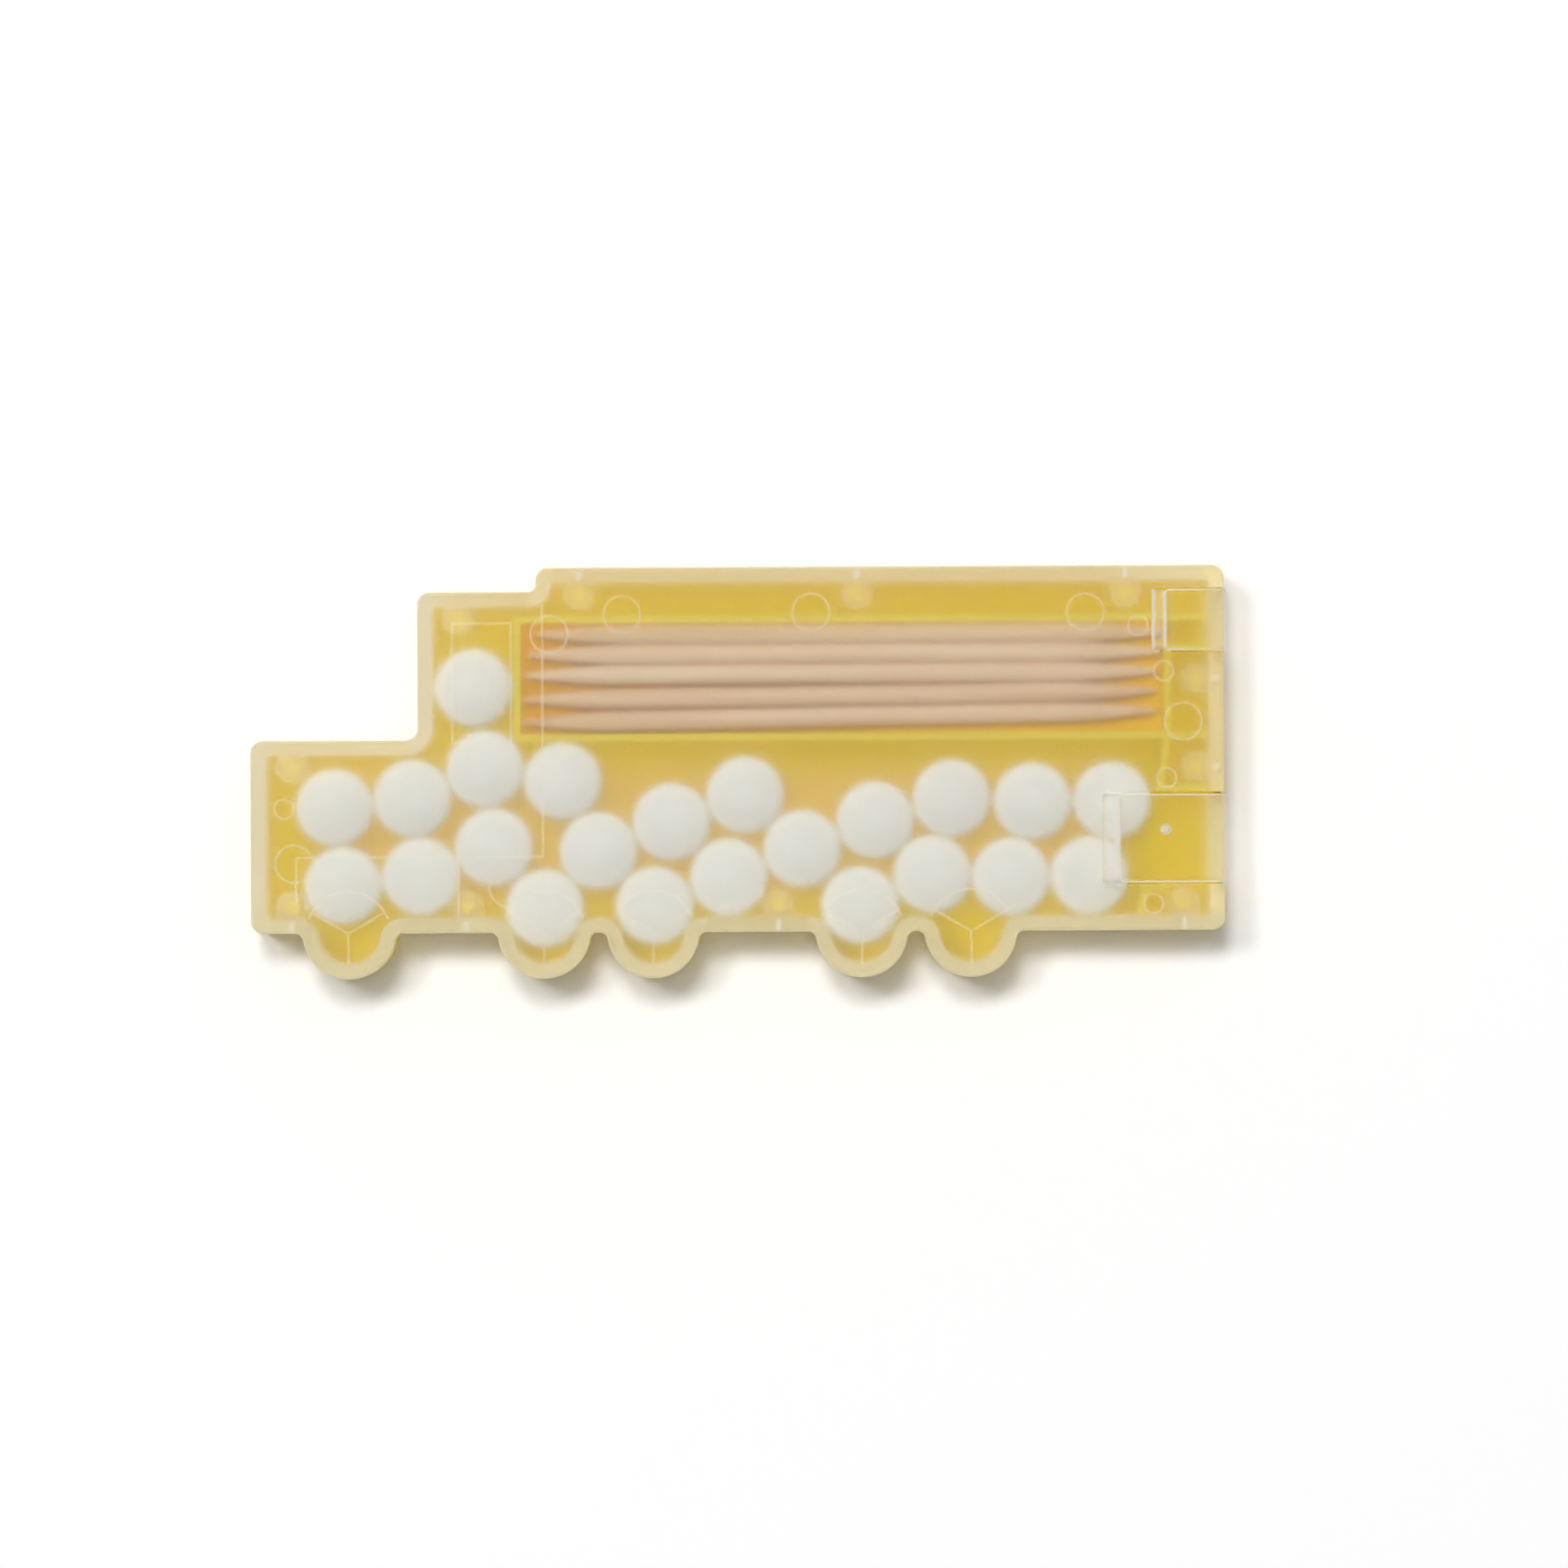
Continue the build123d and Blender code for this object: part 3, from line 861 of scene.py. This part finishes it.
@dataclass(frozen=True)
class PickWood:
    """Pale birch of the toothpicks, with fibres that run along them, and painted shade, darker and redder,
    on their sides.
    """

    name: str = "toothpick_birch"
    dark: Colour = (0.48, 0.285, 0.18)
    warm: Colour = (0.545, 0.395, 0.28)
    light: Colour = (0.60, 0.475, 0.365)
    tone_stops: tuple[float, float, float] = (0.28, 0.45, 0.62)
    # Painted shade: the sides of the toothpicks, where they lie against each other, are darker and redder.
    painted_flank: Colour = (0.78, 0.35, 0.16)
    flank_turn: Range = (0.0, 0.5)
    fibres: Cloud = Cloud((70.0, 3600.0, 3600.0), 3.0, 0.65)
    fibre_share: float = 0.6
    bands: Cloud = Cloud((25.0, 700.0, 700.0), 2.0, 0.5)
    band_share: float = 0.4
    pick_play: float = 0.07
    relief: Relief = Relief(0.5, 0.04 * MM)
    lift: float = 0.8
    roughness: Range = (0.55, 0.75)
    bending: float = 1.4

    def make(self) -> bpy.types.Material:
        """Wires the finish.

        Returns:
            The material.
        """
        bench = Bench(bpy.data.materials.new(self.name))
        chance = bench.node("ShaderNodeObjectInfo").outputs["Random"]
        fibre = bench.cloud(self.fibres)
        tone = bench.sum(
            "ADD",
            bench.sum("MULTIPLY", fibre, self.fibre_share),
            bench.sum("MULTIPLY", bench.cloud(self.bands), self.band_share),
        )
        tone = bench.sum("ADD", tone, bench.spread(chance, -self.pick_play, self.pick_play))
        colour = bench.ramp(tone, self.tone_stops, (self.dark, self.warm, self.light))
        # The sides take the painted shade.
        colour = bench.blend(bench.smooth(bench.upward, *self.flank_turn), self.painted_flank, colour)
        surface = bench.surface(
            "Principled",
            Base_Color=colour,
            Roughness=bench.spread(fibre, *self.roughness),
            IOR=self.bending,
            Normal=bench.lifted(bench.bump(fibre, self.relief), self.lift),
        )
        return bench.close(surface)


@dataclass(frozen=True)
class FloorPaper:
    """White paper under the case."""

    name: str = "floor_paper"
    white: Colour = (0.99, 0.99, 0.99)
    lift: float = 0.06
    fibres: Cloud = Cloud((900.0, 900.0, 900.0), 2.0, 0.5)
    relief: Relief = Relief(0.03, 0.02 * MM)

    def make(self) -> bpy.types.Material:
        """Wires the finish.

        Returns:
            The material.
        """
        bench = Bench(bpy.data.materials.new(self.name))
        normal = bench.bump(bench.cloud(self.fibres), self.relief)
        paper = bench.surface("Diffuse", Color=self.white, Normal=normal)
        glow = bench.node("ShaderNodeEmission").outputs[0]
        return bench.close(bench.mixed(bench.sum("MULTIPLY", bench.seen(), self.lift), paper, glow))


def dress(obj: bpy.types.Object, material: bpy.types.Material) -> None:
    """Gives an object one material on all its faces.

    Args:
        obj: The piece or node.
        material: Its finish.
    """
    if obj.material_slots:
        for slot in obj.material_slots:
            slot.material = material
    else:
        obj.data.materials.append(material)


def piece(
    name: str, points: list[Point], faces: list[Face], marks: Optional[list[float]] = None
) -> bpy.types.Object:
    """Makes a mesh piece in the case's own frame.

    Args:
        name: The piece's name.
        points: Its points in metres.
        faces: Its faces as rows of point numbers.
        marks: How whitened the plastic is at each point.

    Returns:
        The new object.
    """
    mesh = bpy.data.meshes.new(name)
    mesh.from_pydata(points, [], faces)
    if marks is not None:
        layer = mesh.attributes.new("whiteness", "FLOAT", "POINT")
        layer.data.foreach_set("value", marks)
    work = bmesh.new()
    work.from_mesh(mesh)
    bmesh.ops.recalc_face_normals(work, faces=work.faces)
    work.to_mesh(mesh)
    work.free()
    mesh.shade_smooth()
    mesh.update()
    obj = bpy.data.objects.new(name, mesh)
    bpy.context.scene.collection.objects.link(obj)
    return obj


@dataclass
class EdgeBead:
    """A fine bead along a cut edge of the front face: whitened plastic, partly a painted highlight where
    light catches the cut.
    """

    name: str
    path: list[Place]
    marks: list[float]
    body: Body
    width: float = 0.17 * MM
    height: float = 0.035 * MM
    sunk: float = 0.02 * MM
    rounds: int = 6

    def build(self) -> bpy.types.Object:
        """Sweeps a low half-round section along the path.

        Returns:
            The bead.
        """
        section = [
            (self.width / 2 * math.cos(turn), self.height * math.sin(turn))
            for turn in (math.pi * step / self.rounds for step in range(self.rounds + 1))
        ]
        section += [(-self.width / 2, -self.sunk), (self.width / 2, -self.sunk)]
        size = len(section)
        last = len(self.path) - 1
        points, marks = [], []
        for index, (x, y) in enumerate(self.path):
            before = Vector(self.path[max(index - 1, 0)])
            after = Vector(self.path[min(index + 1, last)])
            run = (after - before).normalized()
            points += [(x - run.y * out, y + run.x * out, FRONT_FACE + up) for out, up in section]
            marks += [self.marks[index]] * size
        faces = [
            (start + side, start + (side + 1) % size, start + size + (side + 1) % size, start + size + side)
            for start in range(0, size * last, size)
            for side in range(size)
        ]
        faces += [tuple(range(size))[::-1], tuple(range(size * last, size * (last + 1)))]
        return piece(self.name, points, faces, marks)

    def add(self, material: bpy.types.Material) -> None:
        """Builds the bead, dresses it and sets it on its body.

        Args:
            material: Its finish.
        """
        bead = self.build()
        dress(bead, material)
        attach(bead, self.body.value)
        LOG.info("%s: whitened edge on %s", self.name, self.body.value)


@dataclass(frozen=True)
class WebHaze:
    """How white a web is across its width: a base, and a rise towards the flap or towards both borders."""

    base: float
    rise: float
    power: float
    both_borders: bool

    def at(self, share: float) -> float:
        """The whiteness at a share of the way from the case to the flap."""
        outward = abs(2 * share - 1) if self.both_borders else share
        return self.base + self.rise * outward**self.power


@dataclass
class HingeWeb:
    """The thin web that a flap bends on, thickest where it joins the plates."""

    node: str
    flap: Body
    haze: WebHaze
    gap: float = 0.01 * MM
    thin: float = 0.30 * MM
    root: float = 0.25 * MM
    root_power: int = 5
    dip: float = 0.04 * MM
    across: int = 24
    along: int = 12

    def build(self, low: Point, high: Point) -> bpy.types.Object:
        """Builds the web, its points in rows from the case to the flap, the upper and the lower in turn.

        Args:
            low: The lower corner of the web's box.
            high: The upper corner.

        Returns:
            The web.
        """
        start, end = low[0] + self.gap, high[0] - self.gap
        points, marks = [], []
        for step in range(self.across + 1):
            share = step / self.across
            x = start + share * (end - start)
            top = high[2] - self.dip * math.sin(math.pi * share) ** 2
            under = high[2] - self.thin - self.root * abs(2 * share - 1) ** self.root_power
            for row in range(self.along + 1):
                y = low[1] + (high[1] - low[1]) * row / self.along
                points += [(x, y, top), (x, y, under)]
                marks += [self.haze.at(share)] * 2
        return piece(self.node + "_web", points, self.faces(), marks)

    def faces(self) -> list[Face]:
        """Lists the faces: the upper and lower sides, the two long edges and the two ends.

        Returns:
            The faces as rows of point numbers.
        """
        stride = 2 * (self.along + 1)
        faces = []
        for step in range(self.across):
            for row in range(self.along):
                at = step * stride + 2 * row
                faces.append((at, at + stride, at + stride + 2, at + 2))
                faces.append((at + 1, at + 3, at + stride + 3, at + stride + 1))
            for at in (step * stride, step * stride + 2 * self.along):
                faces.append((at, at + 1, at + stride + 1, at + stride))
        for end in (0, self.across * stride):
            for at in range(end, end + 2 * self.along, 2):
                faces.append((at, at + 2, at + 3, at + 1))
        return faces

    def add(self, material: bpy.types.Material) -> None:
        """Sets the web in place of its solid, between the case and the flap, with a slight dip along its
        top.

        Args:
            material: Its finish.
        """
        low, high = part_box(self.node)
        web = self.build(low, high)
        dress(web, material)
        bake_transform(web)
        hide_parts(self.node)
        LOG.info("%s_web: bends between the case and %s", self.node, self.flap.value)


@dataclass
class Flap:
    """A flap over one exit: its plate, the web that it bends on and its edges, whitened and partly a painted
    highlight.
    """

    body: Body
    haze: WebHaze
    upper_mark: float
    hinge_mark: float
    lower_mark: float
    root_mark: float
    end_mark: float = 0.1
    fading: float = 0.5
    inset: float = 0.085 * MM
    corner: float = 0.5 * MM
    wall: float = 1.5 * MM
    fade: float = 1.6 * MM
    turns: int = 6
    root_offset: float = 0.1 * MM
    root_width: float = 0.28 * MM
    root_rows: int = 8

    def edge_path(self) -> tuple[list[Place], list[float]]:
        """The flap's free edges and its hinge edge in plan, with how white each place is.

        Returns:
            The path's places and their marks.
        """
        low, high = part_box(self.body.value)
        start, end = low[0] + self.inset, high[0] - self.wall
        bottom, top = low[1] + self.inset, high[1] - self.inset
        radius = self.corner - self.inset
        quarter = [math.pi / 2 * step / self.turns for step in range(self.turns + 1)]
        path = [(end + self.fade, top), (end, top), (end - self.fade, top)]
        marks = [self.end_mark, self.upper_mark * self.fading, self.upper_mark]
        path += [
            (start + radius - radius * math.sin(turn), top - radius + radius * math.cos(turn))
            for turn in quarter
        ]
        path += [
            (start + radius - radius * math.cos(turn), bottom + radius - radius * math.sin(turn))
            for turn in quarter
        ]
        marks += [self.hinge_mark] * 2 * len(quarter)
        path += [(end - self.fade, bottom), (end, bottom), (end + self.fade, bottom)]
        marks += [self.lower_mark, self.lower_mark * self.fading, self.end_mark]
        return path, marks

    def add(self, edge_finish: bpy.types.Material) -> None:
        """Dresses the flap and adds its web and its edges.

        Args:
            edge_finish: The finish of the web and of the edges, whitened and partly a painted highlight.
        """
        name = self.body.value
        hinge = name + "_hinge"
        low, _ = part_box(name)
        finish = NaturalPlastic(name + "_natural_plastic", FLAP_LEVELS, streak_start=low[0])
        dress(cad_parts[name], finish.make())
        LOG.info("%s: dressed", name)
        HingeWeb(hinge, self.body, self.haze).add(edge_finish)
        path, marks = self.edge_path()
        EdgeBead(name + "_edge", path, marks, self.body).add(edge_finish)
        low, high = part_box(hinge)
        root = low[0] - self.root_offset
        rows = self.root_rows
        places = [(root, low[1] + (high[1] - low[1]) * row / rows) for row in range(rows + 1)]
        marks = [self.root_mark] * len(places)
        EdgeBead(hinge + "_root", places, marks, Body.CASE, width=self.root_width).add(edge_finish)


@dataclass
class GateStub:
    """The rough stub that is left in the round mark on the mint flap."""

    name: str = "mint_flap_gate_stub"
    x: float = 43.68 * MM
    y: float = -5.99 * MM
    floor: float = 10.68 * MM
    radius: float = 0.46 * MM
    height: float = 0.09 * MM
    sunk: float = 0.01 * MM
    rings: int = 6
    turns: int = 24
    seed: int = 7
    reach_play: Range = (0.9, 1.1)
    rise_play: Range = (0.55, 1.0)
    rise_power: int = 3
    mark_play: Range = (0.05, 0.75)
    under_mark: float = 0.3

    def build(self) -> bpy.types.Object:
        """Builds the stub as a low broken mound.

        Returns:
            The stub.
        """
        chance = random.Random(self.seed)
        points, marks = [], []
        for ring in range(self.rings + 1):
            share = ring / self.rings
            for step in range(self.turns):
                turn = 2 * math.pi * step / self.turns
                reach = self.radius * share * chance.uniform(*self.reach_play)
                up = self.height * (1 - share**self.rise_power) * chance.uniform(*self.rise_play)
                if ring == self.rings:
                    up = -self.sunk
                mark = chance.uniform(*self.mark_play)
                # The inmost ring lies in one place, so it has one point.
                if ring or not step:
                    x, y = self.x + reach * math.cos(turn), self.y + reach * math.sin(turn)
                    points.append((x, y, self.floor + up))
                    marks.append(mark)
        points.append((self.x, self.y, self.floor - self.sunk))
        marks.append(self.under_mark)
        return piece(self.name, points, self.faces(len(points) - 1), marks)

    def faces(self, under: int) -> list[Face]:
        """Lists the faces: a fan at the top, the rings below it and a fan underneath.

        Args:
            under: The number of the point underneath.

        Returns:
            The faces as rows of point numbers.
        """
        steps = range(self.turns)
        rings = [[1 + ring * self.turns + step for step in steps] for ring in range(self.rings)]
        after = [(step + 1) % self.turns for step in steps]
        faces = [(0, rings[0][after[step]], rings[0][step]) for step in steps]
        for inner, outer in zip(rings, rings[1:]):
            faces += [(inner[step], inner[after[step]], outer[after[step]], outer[step]) for step in steps]
        return faces + [(rings[-1][step], rings[-1][after[step]], under) for step in steps]

    def add(self, material: bpy.types.Material) -> None:
        """Builds the stub, dresses it and sets it on the flap.

        Args:
            material: Its finish.
        """
        stub = self.build()
        dress(stub, material)
        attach(stub, Body.MINT_FLAP.value)
        LOG.info("%s: on %s", self.name, Body.MINT_FLAP.value)


@dataclass
class Shells:
    """The two halves of the case."""

    rear: YellowPlastic
    front: NaturalPlastic

    def dress(self) -> None:
        """Gives both halves their finishes."""
        dress(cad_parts["rear_shell"], self.rear.make())
        dress(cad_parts["front_shell"], self.front.make())
        LOG.info("rear_shell, front_shell: dressed")


@dataclass
class Contents:
    """The mints and the toothpicks inside, which are numbered."""

    mint: PressedSugar
    wood: PickWood

    def dress(self) -> None:
        """Gives every mint and toothpick its finish."""
        finishes = {"mint": self.mint.make(), "toothpick": self.wood.make()}
        for name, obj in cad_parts.items():
            kind, _, number = name.rpartition("_")
            if number.isdigit():
                dress(obj, finishes[kind])
                LOG.info("%s: dressed", name)


@dataclass(frozen=True)
class Lamp:
    """A soft round lamp that shines on the case."""

    name: str
    power: float
    size: float
    place: tuple[float, float, float]

    def hang(self) -> None:
        """Hangs the lamp and turns it to the case."""
        light = bpy.data.lights.new(self.name, "AREA")
        light.shape = "DISK"
        light.size = self.size
        light.energy = self.power
        lamp = bpy.data.objects.new(self.name, light)
        lamp.location = self.place
        lamp.rotation_euler = (-Vector(self.place)).to_track_quat("-Z", "Y").to_euler()
        bpy.context.scene.collection.objects.link(lamp)


@dataclass
class Studio:
    """White floor, soft light from the upper left and from over the roof, and a camera straight above."""

    camera_rise: float = 0.95
    frame_width: float = 160.0 * MM
    aim: Place = (4.75 * MM, -1.2 * MM)
    roll: float = -0.27
    sensor: float = 36.0
    clip: Range = (0.01, 20.0)
    floor_size: float = 4.0
    floor_clearance: float = 0.02 * MM
    ambient: float = 0.31
    lamps: tuple[Lamp, ...] = (
        Lamp("studio_key", 42.0, 0.6, (-0.24, 0.84, 3.0)),
        Lamp("studio_side", 32.6, 0.6, (-0.99, 0.66, 3.0)),
    )

    def build(self, paper: FloorPaper) -> None:
        """Builds the floor, the light and the camera.

        Args:
            paper: The floor's finish.
        """
        self.build_floor(paper)
        self.build_world()
        for lamp in self.lamps:
            lamp.hang()
        self.build_camera()
        bpy.context.scene.view_settings.view_transform = "Standard"

    def build_floor(self, paper: FloorPaper) -> None:
        """Lays the floor under the case.

        Args:
            paper: The floor's finish.
        """
        half = self.floor_size / 2
        plan = [(-half, -half), (half, -half), (half, half), (-half, half)]
        corners = [(*corner, -self.floor_clearance) for corner in plan]
        floor = piece("studio_floor", corners, [(0, 1, 2, 3)])
        dress(floor, paper.make())

    def build_world(self) -> None:
        """Sets a white surround: even and white to look at, and as light, brighter over the roof."""
        bench = Bench(bpy.data.worlds.new("studio_surround"))
        sky = bench.sum("MULTIPLY_ADD", bench.axes("Generated")["Y"], self.ambient, self.ambient)
        surround = bench.node("ShaderNodeBackground")
        surround.inputs["Color"].default_value = (1.0, 1.0, 1.0, 1.0)
        bench.feed(surround.inputs["Strength"], bench.spread(bench.seen(), sky, 1.0))
        bpy.context.scene.world = bench.close(surround.outputs[0], "ShaderNodeOutputWorld")

    def build_camera(self) -> None:
        """Hangs the camera straight over the case."""
        lens = bpy.data.cameras.new("studio_camera")
        lens.sensor_fit = "HORIZONTAL"
        lens.sensor_width = self.sensor
        lens.lens = self.sensor * self.camera_rise / self.frame_width
        lens.clip_start, lens.clip_end = self.clip
        camera = bpy.data.objects.new("studio_camera", lens)
        camera.location = (*self.aim, FRONT_FACE + self.camera_rise)
        camera.rotation_euler = (0.0, 0.0, math.radians(self.roll))
        bpy.context.scene.collection.objects.link(camera)
        bpy.context.scene.camera = camera


def main() -> None:
    """Builds the scene in order."""
    logging.basicConfig(level=logging.INFO, format="%(name)s: %(message)s")
    front = NaturalPlastic("front_shell_natural_plastic", PLATE_LEVELS, tail_painted_light_share=0.45)
    Shells(YellowPlastic(), front).dress()
    Contents(PressedSugar(), PickWood()).dress()
    # Whitened plastic for the webs and the stub; on the flaps' edges it is also a painted highlight,
    # brighter on the upper edge than the lower.
    whitened = WhitenedAndHighlitPlastic().make()
    Flap(
        Body.TOOTHPICK_FLAP, WebHaze(base=0.12, rise=0.5, power=8, both_borders=True),
        upper_mark=0.75, hinge_mark=0.95, lower_mark=0.3, root_mark=0.6,
    ).add(whitened)
    Flap(
        Body.MINT_FLAP, WebHaze(base=0.2, rise=0.65, power=1.5, both_borders=False),
        upper_mark=0.85, hinge_mark=0.75, lower_mark=0.7, root_mark=0.05,
    ).add(whitened)
    GateStub().add(whitened)
    Studio().build(FloorPaper())


if __name__ == "__main__":
    main()
